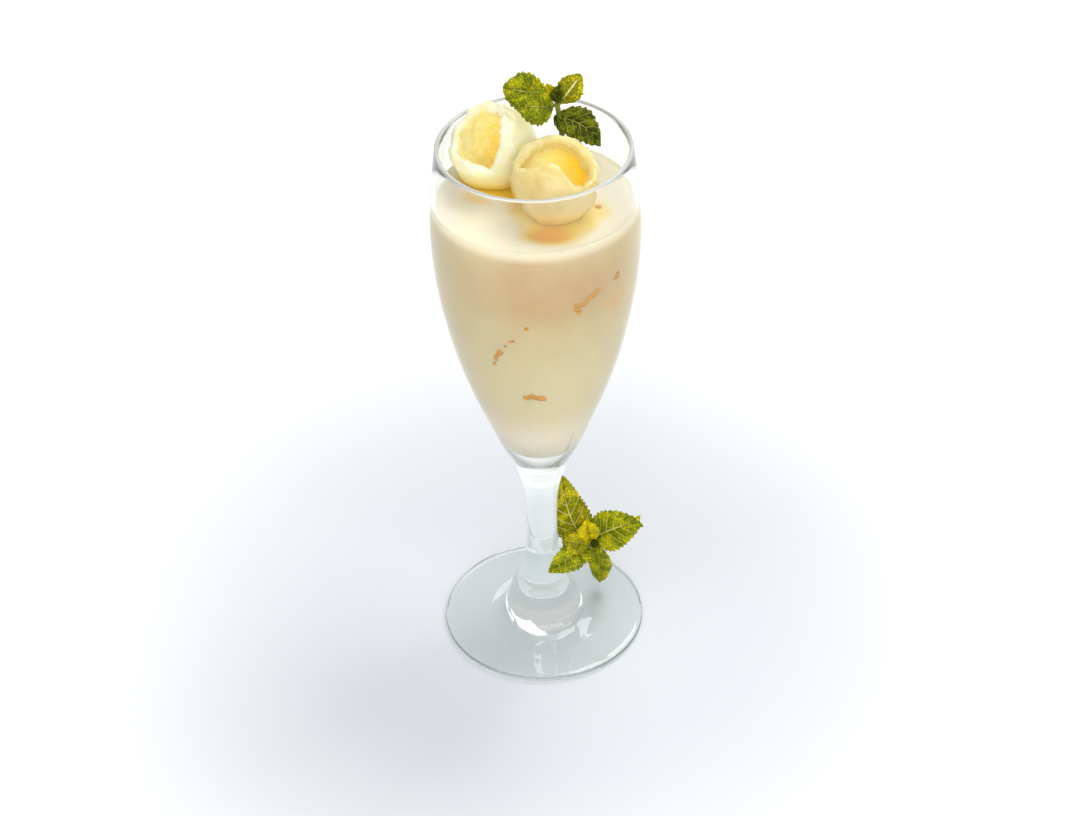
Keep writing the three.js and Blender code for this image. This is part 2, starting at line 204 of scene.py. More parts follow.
# Of each leaf: where it starts and ends, the side that its upper face shows, its full width, where
# along it that width lies, how far it arches, how far it sweeps sideways, how far its halves swell,
# how broad its notched tip is, and how old it looks.
SPRIGS = {
    "mint_sprig_top": {
        "stalk": [(9.6, 9.0, 166.5), (9.0, 8.4, 180), (7.6, 6.4, 194.5), (7.0, 6.0, 198.6)],
        "bud": ((6.8, 4.8, 201.8), 2.3),
        "leaves": [
            dict(base=(5.3, 6.8, 200.6), tip=(-8.8, 12, 200.6), facing=VIEW,
                 width=12, widest=0.55, bow=1.2, cup=0.8),
            dict(base=(5.9, 5, 198), tip=(-5.4, 0, 201.7), facing=(-0.1, -0.86, 0.5),
                 width=11.5, widest=0.45, bow=1.9, cup=1.2),
            dict(base=(7.8, 7, 198.1), tip=(14.1, 11, 205.2), facing=(0.2, -0.8, 0.56),
                 width=8.4, widest=0.5, bow=0.7, cup=-0.9, age="fresh"),
            dict(base=(6.2, 6, 194), tip=(19.7, 2, 186.2), facing=(0.12, -0.7, 0.7),
                 width=10.8, widest=0.42, bow=1, sweep=-2.1, cup=0.8, age="dark"),
            dict(base=(6.2, 6, 201), tip=(4.2, 7.5, 204.3), facing=(0, -0.9, 0.3),
                 width=3, widest=0.5, bow=0.3, cup=0.5, age="young"),
            dict(base=(7, 6, 201), tip=(8, 7, 204.4), facing=(0.3, -0.9, 0.3),
                 width=3, widest=0.5, bow=0.3, cup=0.5, age="dark"),
        ],
    },
    "mint_sprig_foot": {
        "stalk": [(20.3, 22.5, 4.3), (20.0, 16.0, 13), (18.2, 7.5, 24), (16.8, 3.6, 30)],
        "bud": ((17.2, -2.2, 33.2), 1.7),
        "leaves": [
            dict(base=(14.4, 3.4, 28.6), tip=(7.2, 8, 54.4), facing=(0.1, -0.86, 0.5),
                 width=14, widest=0.36, bow=0.5, sweep=-2, cup=0.8, age="fresh"),
            dict(base=(17, 2.5, 31.3), tip=(33.3, -1.6, 42.3), facing=(0.15, -0.8, 0.58),
                 width=14.6, widest=0.36, bow=1.2, sweep=-1, cup=1.1, notch=2.2),
            dict(base=(15.5, 1, 29.9), tip=(1.7, -8.6, 26.9), facing=(-0.35, -0.9, 0.32),
                 width=10, widest=0.42, bow=1.2, cup=0.9),
            dict(base=(17.6, 3, 27.5), tip=(19.6, 10.9, 4.1), facing=(0.1, -0.9, -0.1),
                 width=7.8, widest=0.4, bow=1.5, sweep=-0.8, cup=0.8),
            dict(base=(15.9, 0.6, 31.5), tip=(14.6, -1, 42.4), facing=(0, -0.86, 0.5),
                 width=7.8, widest=0.55, bow=1.2, cup=1.2, age="young"),
            dict(base=(15.4, 0, 30.6), tip=(6.6, -1.6, 34), facing=VIEW,
                 width=8, widest=0.5, bow=1, cup=0.9, age="fresh"),
            dict(base=(16.6, 0, 29.8), tip=(18.2, -3.2, 24.6), facing=(0.1, -0.8, 0.6),
                 width=7.6, widest=0.45, bow=0.8, cup=0.7),
        ],
    },
}


# ---- curves ----
def smooth_value(knots, position):
    """A smooth curve through (position, value) knots, read at any position."""
    last = len(knots) - 1
    k = 0
    while k < last - 1 and position > knots[k + 1][0]:
        k += 1

    def slope(i):
        before, after = knots[max(i - 1, 0)], knots[min(i + 1, last)]
        return (after[1] - before[1]) / (after[0] - before[0])

    span = knots[k + 1][0] - knots[k][0]
    t = (position - knots[k][0]) / span
    rise = knots[k + 1][1] - knots[k][1]
    a = slope(k) * span - rise
    b = rise - slope(k + 1) * span
    return knots[k][1] + t * rise + t * (1 - t) * ((1 - t) * a + t * b)


def smooth_round(knots, degrees):
    """The same for knots round a circle, in degrees."""
    before = [(angle - 360, value) for angle, value in knots[-2:]]
    after = [(angle + 360, value) for angle, value in knots[:2]]
    return smooth_value(before + knots + after, degrees)


def spline_points(knots, steps):
    """Points on a Catmull-Rom spline through the knots, this many to each stretch."""
    knots = [Vector(k) for k in knots]
    last = len(knots) - 1
    points = []
    for k in range(last):
        before, start, end, after = (knots[min(max(i, 0), last)] for i in range(k - 1, k + 3))
        for step in range(steps):
            t = step / steps
            a = (end - before) / 2
            b = (after - start) / 2
            points.append(
                (2 * t**3 - 3 * t**2 + 1) * start
                + (t**3 - 2 * t**2 + t) * a
                + (3 * t**2 - 2 * t**3) * end
                + (t**3 - t**2) * b
            )
    return points + [knots[-1]]


def smoothstep(value, low, high):
    """0 at low and beyond it, 1 at high and beyond it, and smooth between, whichever is greater."""
    t = min(max((value - low) / (high - low), 0), 1)
    return t * t * (3 - 2 * t)


def mix(a, b, share):
    return a + (b - a) * share


def outer_radius(height):
    return smooth_value(BOWL_OUTLINE, height)


def inner_radius(height):
    """The inside follows the outside a wall's thickness away, and closes in a round bottom."""
    near_rim = smoothstep(height, GLASS_HEIGHT - RIM_BAND, GLASS_HEIGHT - 1)
    wall = mix(WALL, RIM_THICKNESS, near_rim)
    depth = (HOLLOW_BLEND_TOP - height) / (HOLLOW_BLEND_TOP - HOLLOW_BOTTOM)
    closing = math.sqrt(max(1 - depth**6, 0)) if depth > 0 else 1
    return (outer_radius(height) - wall) * closing


def hollow_heights(top):
    """Heights up the inside as far as top, closest together in the round bottom."""
    round_steps, steps = 20, 36
    heights = []
    for step in range(round_steps):
        share = math.cos(step / round_steps * math.pi / 2) ** 0.8
        heights.append(mix(HOLLOW_BLEND_TOP, HOLLOW_BOTTOM, share))
    return heights + [mix(HOLLOW_BLEND_TOP, top, step / steps) for step in range(steps + 1)]


# ---- modelling ----
def deselect_all():
    bpy.ops.object.select_all(action="DESELECT")


def named(name):
    """The object that an operator has just added, with its place moved into its mesh."""
    piece = bpy.context.object
    piece.name = piece.data.name = name
    bpy.ops.object.transform_apply(location=True, rotation=True, scale=True)
    return piece


def weld():
    """Merges the points of the active piece that coincide, and turns all its faces outwards."""
    bpy.ops.object.mode_set(mode="EDIT")
    bpy.ops.mesh.select_all(action="SELECT")
    bpy.ops.mesh.remove_doubles(threshold=WELD)
    bpy.ops.mesh.normals_make_consistent(inside=False)
    bpy.ops.object.mode_set(mode="OBJECT")


def spun(name, outline):
    """A closed body of revolution. Its outline of (radius, height) starts and ends on the axis."""
    deselect_all()
    places = [Vector((radius * MM, 0, height * MM)) for radius, height in outline]
    bpy.ops.mesh.primitive_plane_add(size=MM, location=places[0])
    piece = named(name)
    bpy.ops.object.mode_set(mode="EDIT")
    bpy.ops.mesh.merge(type="CENTER")
    for before, after in zip(places, places[1:]):
        bpy.ops.mesh.extrude_region_move(TRANSFORM_OT_translate={"value": after - before})
    bpy.ops.mesh.select_all(action="SELECT")
    bpy.ops.mesh.spin(steps=TURNS, angle=math.tau, center=(0, 0, 0), axis=UP)
    bpy.ops.object.mode_set(mode="OBJECT")
    weld()
    return piece


def shade(piece, degrees):
    """Shades the piece smooth, apart from the edges that turn by more than these degrees."""
    deselect_all()
    piece.select_set(True)
    bpy.context.view_layer.objects.active = piece
    bpy.ops.object.shade_smooth_by_angle(angle=math.radians(degrees))


def join(name, pieces):
    deselect_all()
    for piece in pieces:
        piece.select_set(True)
    bpy.context.view_layer.objects.active = pieces[0]
    bpy.ops.object.join()
    return named(name)


def finish_piece(piece, node):
    """The piece rides on the one body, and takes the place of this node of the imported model."""
    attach(piece, "root")
    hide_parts(node)


# ---- materials ----
def linear(hex_colour):
    """An sRGB hex colour such as 0xf3ead0 as a linear RGBA colour."""
    channels = [(hex_colour >> shift & 255) / 255 for shift in (16, 8, 0)]
    return [c / 12.92 if c <= 0.04045 else ((c + 0.055) / 1.055) ** 2.4 for c in channels] + [1]


def new_material(name, **sockets):
    """A material whose Principled shader has some sockets set, with its node tree and that shader."""
    material = bpy.data.materials.new(name)
    material.use_nodes = True
    shader = material.node_tree.nodes["Principled BSDF"]
    for socket, value in sockets.items():
        shader.inputs[socket.replace("_", " ")].default_value = value
    return material, material.node_tree, shader


# A Map Range node's inputs are 0 the value, 1 and 2 where its range starts and ends, and 3 and 4 the
# results there, which are 0 and 1 unless they are set. A Mix node's are 0 the share of the second
# colour, and 6 and 7 the colours, and its result is output 2.
SMOOTH = {"interpolation_type": "SMOOTHSTEP"}  # settings of a smooth Map Range node
COLOURS = {"data_type": "RGBA"}  # settings of a Mix node for colours


def add(tree, kind, inputs, output=0, **settings):
    """Adds a node with its settings. Its inputs are values or other nodes' output sockets."""
    node = tree.nodes.new(kind)
    for name, value in settings.items():
        setattr(node, name, value)
    for socket, value in inputs.items():
        if isinstance(value, bpy.types.NodeSocket):
            tree.links.new(value, node.inputs[socket])
        else:
            node.inputs[socket].default_value = value
    return node.outputs[output]


def glass_material():
    """Soda-lime glass, pressed and fire-polished: clear, with a faint green where it is thick, and a
    faint painted glow in its volume.
    """
    material, tree, shader = new_material(
        "clear_soda_lime_glass",
        Base_Color=linear(0xFDFFFE),
        Roughness=0.0,
        IOR=1.5,
        Transmission_Weight=1.0,
    )
    # painted light: the glass glows faintly in its volume, standing in for light that is caught between
    # the faces of the wall,
    # so that the rim and the edges stay pale: the glass takes up a little light and gives as much back
    absorb = add(tree, "ShaderNodeVolumeAbsorption", {"Color": linear(0x404440), "Density": 15.0})
    glow = add(tree, "ShaderNodeEmission", {"Color": linear(0xE8F2F0), "Strength": 12.1})
    volume = add(tree, "ShaderNodeAddShader", {0: absorb, 1: glow})
    tree.links.new(volume, tree.nodes["Material Output"].inputs["Volume"])
    # part of the light reaches what the glass holds straight through the wall
    shadow = add(tree, "ShaderNodeLightPath", {}, "Is Shadow Ray")
    straight = add(tree, "ShaderNodeBsdfTransparent", {"Color": (0.45, 0.46, 0.46, 1)})
    surface = add(tree, "ShaderNodeMixShader", {0: shadow, 1: shader.outputs[0], 2: straight})
    tree.links.new(surface, tree.nodes["Material Output"].inputs["Surface"])
    return material


def glass_lip_material():
    """The fire-polished lip, half milky white so that it reads as a pale line: painted light for the
    light that its tight curve gathers from all round.
    """
    return new_material(
        "fire_polished_glass_lip",
        Base_Color=linear(0xF4F8F7),
        Roughness=0.03,
        IOR=1.5,
        Transmission_Weight=0.5,
    )[0]


def spot(tree, place, centre, squeeze, full, none):
    """1 within full of the centre, 0 beyond none: the distance is measured after squeezing the axes."""
    away = add(tree, "ShaderNodeVectorMath", {0: place, 1: [-c * MM for c in centre]}, operation="ADD")
    scaled = add(tree, "ShaderNodeVectorMath", {0: away, 1: squeeze}, operation="MULTIPLY")
    length = add(tree, "ShaderNodeVectorMath", {0: scaled}, "Value", operation="LENGTH")
    return add(tree, "ShaderNodeMapRange", {0: length, 1: none * MM, 2: full * MM}, **SMOOTH)


def with_spots(tree, place, tone, spots):
    """The tone with spots of other colours over it."""
    for centre, squeeze, full, none, strength, colour in spots:
        share = spot(tree, place, centre, squeeze, full, none)
        share = add(tree, "ShaderNodeMath", {0: share, 1: strength}, operation="MULTIPLY")
        tone = add(tree, "ShaderNodeMix", {0: share, 6: tone, 7: linear(colour)}, 2, **COLOURS)
    return tone


def cream_material():
    """Set cream: dense, moist and faintly translucent, stained by syrup round the lychees, with painted
    light and shade on its top and side.
    """
    material, tree, shader = new_material(
        "set_cream",
        Roughness=0.42,
        IOR=1.4,
        Subsurface_Weight=0.6,
        Subsurface_Radius=(1.0, 0.62, 0.3),
        Subsurface_Scale=4 * MM,
    )
    place = add(tree, "ShaderNodeTexCoord", {}, "Object")
    height = add(tree, "ShaderNodeSeparateXYZ", {0: place}, "Z")
    # broad, uneven clouding, a few centimetres across
    pattern = {"Vector": place, "Scale": 28.0, "Detail": 3.0, "Roughness": 0.45}
    clouds = add(tree, "ShaderNodeTexNoise", pattern)
    cloudy = add(tree, "ShaderNodeMapRange", {0: clouds, 1: 0.4, 2: 0.66}, **SMOOTH)
    # painted light and shade: pale at the bottom, where light comes in from all sides, and darker up the
    # side, painted as in shade
    tone = linear(CREAM_BOTTOM_LIT)
    for low, high, colour in CREAM_SIDE_SHADE:
        share = add(tree, "ShaderNodeMapRange", {0: height, 1: low * MM, 2: high * MM}, **SMOOTH)
        tone = add(tree, "ShaderNodeMix", {0: share, 6: tone, 7: linear(colour)}, 2, **COLOURS)
    # syrup has soaked into the side in places; the broad tan spot high on the front is painted shade
    tone = with_spots(tree, place, tone, CREAM_SOAK_AND_SHADE)
    share = add(tree, "ShaderNodeMath", {0: cloudy, 1: 0.5}, operation="MULTIPLY")
    tone = add(tree, "ShaderNodeMix", {0: share, 6: tone, 7: linear(CREAM_CLOUDS)}, 2, **COLOURS)
    # painted light: the top is paler than the side, as it is lit from above
    limits = {0: height, 1: (CREAM_LEVEL - 4) * MM, 2: (CREAM_LEVEL - 0.5) * MM}
    surface = add(tree, "ShaderNodeMapRange", limits, **SMOOTH)
    tone = add(tree, "ShaderNodeMix", {0: surface, 6: tone, 7: linear(CREAM_LIT_TOP)}, 2, **COLOURS)
    # syrup has run down the lychees onto the cream, and stands in a pool in front of them; the pool's
    # deep amber is partly syrup and partly painted shade where the right lychee meets the cream
    patchy = add(tree, "ShaderNodeMapRange", {0: clouds, 1: 0.25, 2: 0.6, 3: 0.35}, **SMOOTH)
    stained = None
    for lychee in LYCHEES.values():
        x, y, _ = lychee["centre"]
        stain = spot(tree, place, (x, y, CREAM_LEVEL), (1, 1, 1), 9, 14.5)
        if stained is not None:
            stain = add(tree, "ShaderNodeMath", {0: stained, 1: stain}, operation="MAXIMUM")
        stained = stain
    share = add(tree, "ShaderNodeMath", {0: stained, 1: patchy}, operation="MULTIPLY")
    tone = add(tree, "ShaderNodeMix", {0: share, 6: tone, 7: linear(SYRUP_STAIN)}, 2, **COLOURS)
    tone = with_spots(tree, place, tone, CREAM_SYRUP_AND_SHADE)
    tree.links.new(tone, shader.inputs["Base Color"])
    # a fine grain, from 2 mm down to a few tenths of a millimetre
    grain = add(tree, "ShaderNodeTexNoise", {"Vector": place, "Scale": 420.0, "Detail": 4.0})
    normal = add(tree, "ShaderNodeBump", {"Height": grain, "Distance": 0.12 * MM, "Strength": 0.5})
    tree.links.new(normal, shader.inputs["Normal"])
    return material


def fleck_material():
    """Flecks of syrup-soaked fruit: amber, soft-edged and moist."""
    material, tree, shader = new_material(
        "syrup_soaked_fruit",
        Roughness=0.35,
        IOR=1.4,
        Subsurface_Weight=0.5,
        Subsurface_Radius=(1.0, 0.6, 0.2),
        Subsurface_Scale=1 * MM,
    )
    place = add(tree, "ShaderNodeTexCoord", {}, "Object")
    fibres = add(tree, "ShaderNodeTexNoise", {"Vector": place, "Scale": 500.0, "Detail": 3.0})
    share = add(tree, "ShaderNodeMapRange", {0: fibres, 1: 0.35, 2: 0.65}, **SMOOTH)
    tones = {0: share, 6: linear(0xE09A14), 7: linear(0xDAA640)}
    tree.links.new(add(tree, "ShaderNodeMix", tones, 2, **COLOURS), shader.inputs["Base Color"])
    return material


def lychee_material(name):
    """Peeled lychee: moist, cloudy flesh, pale outside; in its hollow a deeper yellow of painted shade,
    and a painted glow.
    """
    lychee = LYCHEES[name]
    material, tree, shader = new_material(
        name + "_flesh",
        Roughness=0.22,
        IOR=1.38,
        Subsurface_Weight=1.0,
        Subsurface_Radius=(1.0, 0.8, 0.45),
        Subsurface_Scale=12 * MM,
        Coat_Weight=0.25,
        Coat_Roughness=0.12,
        Emission_Strength=0.1,
    )
    place = add(tree, "ShaderNodeTexCoord", {}, "Object")
    height = add(tree, "ShaderNodeSeparateXYZ", {0: place}, "Z")
    hollow = add(tree, "ShaderNodeAttribute", {}, "Fac", attribute_name="hollow")
    painted_shade_centre = Vector(lychee["centre"]) + Vector(lychee["painted_shade_centre"])
    painted_shade_share = spot(tree, place, painted_shade_centre, (1, 1, 1), 4, 17)
    # fibres run through the flesh a few millimetres apart
    pattern = {"Vector": place, "Scale": 160.0, "Detail": 5.0, "Roughness": 0.6}
    fibres = add(tree, "ShaderNodeTexNoise", pattern)
    fibrous = add(tree, "ShaderNodeMapRange", {0: fibres, 1: 0.35, 2: 0.7}, **SMOOTH)
    pale, dull = (linear(colour) for colour in lychee["flesh"])
    outside = add(tree, "ShaderNodeMix", {0: fibrous, 6: pale, 7: dull}, 2, **COLOURS)
    # the syrup has soaked up from the cream
    middle = lychee["centre"][2]
    limits = {0: height, 1: (middle + 1) * MM, 2: (CREAM_LEVEL + 0.5) * MM, 4: 0.8}
    soaked = add(tree, "ShaderNodeMapRange", limits, **SMOOTH)
    tones = {0: soaked, 6: outside, 7: linear(SOAKED_FLESH)}
    outside = add(tree, "ShaderNodeMix", tones, 2, **COLOURS)
    # painted shade: the hollow turns a deep yellow round the place where it lies deepest
    pale, yellow = (linear(colour) for colour in HOLLOW_PALE_AND_SHADE)
    inside = add(tree, "ShaderNodeMix", {0: painted_shade_share, 6: pale, 7: yellow}, 2, **COLOURS)
    tone = add(tree, "ShaderNodeMix", {0: hollow, 6: outside, 7: inside}, 2, **COLOURS)
    tree.links.new(tone, shader.inputs["Base Color"])
    # painted light: the hollow glows faintly with its own colour, standing in for light that soaks
    # through the flesh
    glow = add(tree, "ShaderNodeMix", {0: hollow, 6: linear(0x000000), 7: tone}, 2, **COLOURS)
    tree.links.new(glow, shader.inputs["Emission Color"])
    normal = add(tree, "ShaderNodeBump", {"Height": fibres, "Distance": 0.25 * MM, "Strength": 0.6})
    tree.links.new(normal, shader.inputs["Normal"])
    return material


def mint_leaf_material(age):
    """Mint leaf: quilted between its veins, with painted shade along its veins and in the net between its
    cells, matt and downy, and thin enough to glow.
    """
    light, dark, rib = (linear(colour) for colour in LEAF_TONES[age])
    material, tree, shader = new_material(
        age + "_mint_leaf",
        Roughness=0.55,
        IOR=1.45,
        Specular_IOR_Level=0.12,
        Subsurface_Weight=0.3,
        Subsurface_Radius=(0.8, 1.0, 0.15),
        Subsurface_Scale=1.0 * MM,
    )
    leaf_place = add(tree, "ShaderNodeTexCoord", {}, "UV")
    along = add(tree, "ShaderNodeSeparateXYZ", {0: leaf_place}, "X")
    side = add(tree, "ShaderNodeSeparateXYZ", {0: leaf_place}, "Y")
    side = add(tree, "ShaderNodeMath", {0: side, 1: 2.0, 2: -1.0}, operation="MULTIPLY_ADD")
    side = add(tree, "ShaderNodeMath", {0: side}, operation="ABSOLUTE")
    # side veins leave the midrib at a slant and run towards the edge and the tip
    phase = add(tree, "ShaderNodeMath", {0: along, 1: SIDE_VEINS}, operation="MULTIPLY")
    bend = add(tree, "ShaderNodeMath", {0: side, 1: 0.9}, operation="POWER")
    slant = {0: bend, 1: -SIDE_VEINS * VEIN_SLANT, 2: phase}
    bend = add(tree, "ShaderNodeMath", slant, operation="MULTIPLY_ADD")
    beside_vein = add(tree, "ShaderNodeMath", {0: bend, 1: 0.5}, operation="PINGPONG")
    line = add(tree, "ShaderNodeMapRange", {0: beside_vein, 1: 0.085, 2: 0.03}, **SMOOTH)
    to_edge = add(tree, "ShaderNodeMapRange", {0: side, 1: 1.0, 2: 0.7}, **SMOOTH)
    line = add(tree, "ShaderNodeMath", {0: line, 1: to_edge}, operation="MULTIPLY")
    midrib = add(tree, "ShaderNodeMapRange", {0: side, 1: 0.08, 2: 0.035}, **SMOOTH)
    ribs = add(tree, "ShaderNodeMath", {0: midrib, 1: line}, operation="MAXIMUM")
    # painted shade: a dark groove lies along each vein
    groove_shade = add(tree, "ShaderNodeMapRange", {0: beside_vein, 1: 0.2, 2: 0.06, 4: 0.6}, **SMOOTH)
    midrib_groove_shade = add(tree, "ShaderNodeMapRange", {0: side, 1: 0.17, 2: 0.06, 4: 0.7}, **SMOOTH)
    groove_shade = add(tree, "ShaderNodeMath", {0: groove_shade, 1: midrib_groove_shade}, operation="MAXIMUM")
    place = add(tree, "ShaderNodeTexCoord", {}, "Object")
    # the net of finest veins, drawn coarser than it is so that it shows, as dark lines of painted shade
    pattern = {"Vector": place, "Scale": 1 / (LEAF_CELL * MM)}
    net = add(tree, "ShaderNodeTexVoronoi", pattern, feature="DISTANCE_TO_EDGE")
    net_shade = add(tree, "ShaderNodeMapRange", {0: net, 1: 0.2, 2: 0.02, 4: 0.75}, **SMOOTH)
    shaded = add(tree, "ShaderNodeMath", {0: groove_shade, 1: net_shade}, operation="MAXIMUM")
    patches = add(tree, "ShaderNodeTexNoise", {"Vector": place, "Scale": 260.0, "Detail": 4.0})
    patchy = add(tree, "ShaderNodeMapRange", {0: patches, 1: 0.62, 2: 0.36, 4: 0.8}, **SMOOTH)
    shaded = add(tree, "ShaderNodeMath", {0: shaded, 1: patchy}, operation="ADD", use_clamp=True)
    tone = add(tree, "ShaderNodeMix", {0: shaded, 6: light, 7: dark}, 2, **COLOURS)
    share = add(tree, "ShaderNodeMath", {0: ribs, 1: 0.9}, operation="MULTIPLY")
    tone = add(tree, "ShaderNodeMix", {0: share, 6: tone, 7: rib}, 2, **COLOURS)
    tree.links.new(tone, shader.inputs["Base Color"])
    height = add(tree, "ShaderNodeMath", {0: ribs, 1: -0.35, 2: net}, operation="MULTIPLY_ADD")
    normal = add(tree, "ShaderNodeBump", {"Height": height, "Distance": 0.4 * MM, "Strength": 0.9})
    tree.links.new(normal, shader.inputs["Normal"])
    return material


def mint_stalk_material():
    """Mint stalk: square, downy and dull, darker than the leaves."""
    material, tree, shader = new_material("mint_stalk", Roughness=0.6, IOR=1.45)
    place = add(tree, "ShaderNodeTexCoord", {}, "Object")
    streaks = add(tree, "ShaderNodeTexNoise", {"Vector": place, "Scale": 300.0, "Detail": 3.0})
    share = add(tree, "ShaderNodeMapRange", {0: streaks, 1: 0.35, 2: 0.65}, **SMOOTH)
    tones = {0: share, 6: linear(0x4A5A10), 7: linear(0x7C8420)}
    tree.links.new(add(tree, "ShaderNodeMix", tones, 2, **COLOURS), shader.inputs["Base Color"])
    normal = add(tree, "ShaderNodeBump", {"Height": streaks, "Distance": 0.1 * MM})
    tree.links.new(normal, shader.inputs["Normal"])
    return material


# ---- pieces ----
def make_glass():
    outline = FOOT_UNDERSIDE + [tuple(p) for p in spline_points(FOOT_AND_STEM, 6)]
    bowl_steps = 44
    for step in range(1, bowl_steps + 1):
        height = mix(NECK_HEIGHT, LIP_HEIGHT, (step / bowl_steps) ** 1.25)
        outline.append((outer_radius(height), height))
    curve = RIM_THICKNESS / 2
    lip_middle = outer_radius(LIP_HEIGHT) - curve
    lip_steps = 10
    for step in range(1, lip_steps):
        turn = step / lip_steps * math.pi
        outline.append((lip_middle + curve * math.cos(turn), LIP_HEIGHT + curve * math.sin(turn)))
    outline += [(inner_radius(height), height) for height in reversed(hollow_heights(LIP_HEIGHT))]
    glass = spun("stemmed_glass", outline)
    glass.data.materials.append(glass_material())
    glass.data.materials.append(glass_lip_material())
    for face in glass.data.polygons:
        if face.center.z > (LIP_HEIGHT - LIP_BAND) * MM:
            face.material_index = 1
    shade(glass, 30)
    finish_piece(glass, "glass")


def make_cream():
    step = 0.01
    outline = []
    for height in hollow_heights(CREAM_LEVEL):
        lean = (inner_radius(height + step) - inner_radius(height)) / step
        away = CREAM_IN_WALL / math.hypot(1, lean)
        radius = inner_radius(height) + away if outline else 0
        outline.append((radius, height - away * lean))
    # a low rise where the cream wets the wall, then the level top in rings
    edge = inner_radius(CREAM_LEVEL)
    outline += [(edge + CREAM_IN_WALL, CREAM_LEVEL + MENISCUS), (edge - 0.5, CREAM_LEVEL + 0.2)]
    top_rings = 40
    outline += [(edge * (1 - ring / top_rings), CREAM_LEVEL) for ring in range(1, top_rings + 1)]
    cream = spun("set_cream", outline)
    for vertex in cream.data.vertices:
        x, y, z = vertex.co / MM
        if z > CREAM_LEVEL - 0.05 and math.hypot(x, y) < edge - 0.1:
            vertex.co.z += cream_ripple(x, y) * MM
    cream.data.materials.append(cream_material())
    shade(cream, 50)
    finish_piece(cream, "cream")


def cream_ripple(x, y):
    """How far the cream's top rises: slight waves, and cream and syrup drawn up round each lychee."""
    rise = CREAM_WAVES * noise.noise(Vector((x / 11, y / 11, 0)))
    drawn_up = 0
    for lychee in LYCHEES.values():
        away = math.hypot(x - lychee["centre"][0], y - lychee["centre"][1])
        ring = smoothstep(away, 3, 7.5) * smoothstep(away, 12.5, 7.5)
        drawn_up = max(drawn_up, ring)
    return rise + CREAM_DRAWN_UP * drawn_up


def make_flecks():
    """Bits of syrup-soaked fruit that lie against the inside of the glass."""
    fleck_material()
    noise.seed_set(FLECK_SEED)
    pieces = []
    for marks, radius in FLECKS:
        points = []
        for degrees, height in marks:
            turn = math.radians(degrees)
            reach = inner_radius(height) - (1 - FLECK_SHOWS) * radius
            points.append((reach * math.sin(turn), -reach * math.cos(turn), height))
        fleck = make_tube(points, radius, radius * 0.75, "syrup_soaked_fruit")
        for vertex in fleck.data.vertices:
            lump = noise.noise_vector(vertex.co / (FLECK_LUMP_SIZE * MM))
            vertex.co += FLECK_LUMPS * radius * MM * lump
        pieces.append(fleck)
    flecks = join("syrup_flecks", pieces)
    shade(flecks, 60)
    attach(flecks, "root")


def lychee_flats(name):
    """The soft fruits flatten against each other and against the glass: directions and distances."""
    centre = Vector(LYCHEES[name]["centre"])
    flats = []
    for other in LYCHEES:
        if other != name:
            to_other = Vector(LYCHEES[other]["centre"]) - centre
            flats.append((to_other.normalized(), to_other.length / 2 - BETWEEN_LYCHEES))
    outward = Vector((centre.x, centre.y, 0))
    wall_radius = inner_radius(centre.z + TOUCH_HEIGHT * LYCHEES[name]["radius"])
    flats.append((outward.normalized(), wall_radius - outward.length - LYCHEE_TO_GLASS))
    return flats


def make_lychee(name):
    """A peeled, stoned fruit: a lumpy ball, hollow inside, open where its torn rim lies."""
    lychee = LYCHEES[name]
    centre, radius = Vector(lychee["centre"]), lychee["radius"]
    up = Vector(lychee["axis"]).normalized()
    right = Vector((1, 0, 0)) - up * up.x
    right.normalize()
    ahead = up.cross(right)
    flats = lychee_flats(name)
    phase = lychee["lump_phase"]
    middle = radius - LYCHEE_LIP / 2
    segments, rings = 112, 120
    outer_share, rim_share = 0.46, 0.56  # where along the way over the rim the outside and the rim end

    def place(turn, way):
        """way runs from the bottom of the outside, 0, over the torn rim to the bottom of the hollow, 1.
        Gives the place, and how far down the hollow it lies."""
        depth = 0
        edge = math.radians(smooth_round(lychee["rim"], math.degrees(turn)))
        edge += 0.05 * noise.noise(Vector((math.cos(turn) * 4, math.sin(turn) * 4, phase)))
        if way < outer_share:
            tilt, distance = math.pi - way / outer_share * (math.pi - edge), radius
        elif way < rim_share:
            roll = (way - outer_share) / (rim_share - outer_share) * math.pi
            tilt = edge - 0.5 * LYCHEE_LIP * math.sin(roll) / middle
            distance = middle + LYCHEE_LIP / 2 * math.cos(roll)
        else:
            share = (1 - way) / (1 - rim_share)
            wall = mix(LYCHEE_LIP, LYCHEE_WALL, (1 - share) ** 0.6)
            tilt, distance = math.pi - share * (math.pi - edge), radius - wall
            depth = (tilt - edge) * radius
        direction = (right * math.cos(turn) + ahead * math.sin(turn)) * math.sin(tilt)
        direction += up * math.cos(tilt)
        lumps = BROAD_LUMPS * math.sin(3 * turn + phase) * math.sin(tilt) ** 2
        lumps += NARROW_LUMPS * math.sin(5 * turn - 2 * phase + 3 * tilt) * math.sin(tilt)
        reach = distance * (1 + lumps)
        torn = smoothstep(way, 0.36, 0.5)  # the torn rim and the hollow are uneven
        reach += mix(0.25, 0.9, torn) * noise.noise(direction * 3.5 + Vector((phase, 0, way * 2)))
        reach += mix(0.1, 0.5, torn) * noise.noise(direction * 9 + Vector((0, phase, way * 5)))
        for flat, flat_distance in flats:
            lean = direction.dot(flat)
            if lean > 0.5:
                reach = min(reach, flat_distance / lean)
        return (centre + direction * reach) * MM, depth

    deselect_all()
    bpy.ops.mesh.primitive_uv_sphere_add(segments=segments, ring_count=rings, radius=1)
    piece = named(name + "_flesh")
    hollow = piece.data.attributes.new("hollow", "FLOAT", "POINT")
    for vertex, share in zip(piece.data.vertices, hollow.data):
        x, y, z = vertex.co
        way = math.acos(min(max(-z, -1), 1)) / math.pi
        vertex.co, depth = place(math.atan2(y, x) % math.tau, way)
        share.value = smoothstep(depth, 0, HOLLOW_FADE)
    piece.data.materials.append(lychee_material(name))
    shade(piece, 80)
    finish_piece(piece, name)


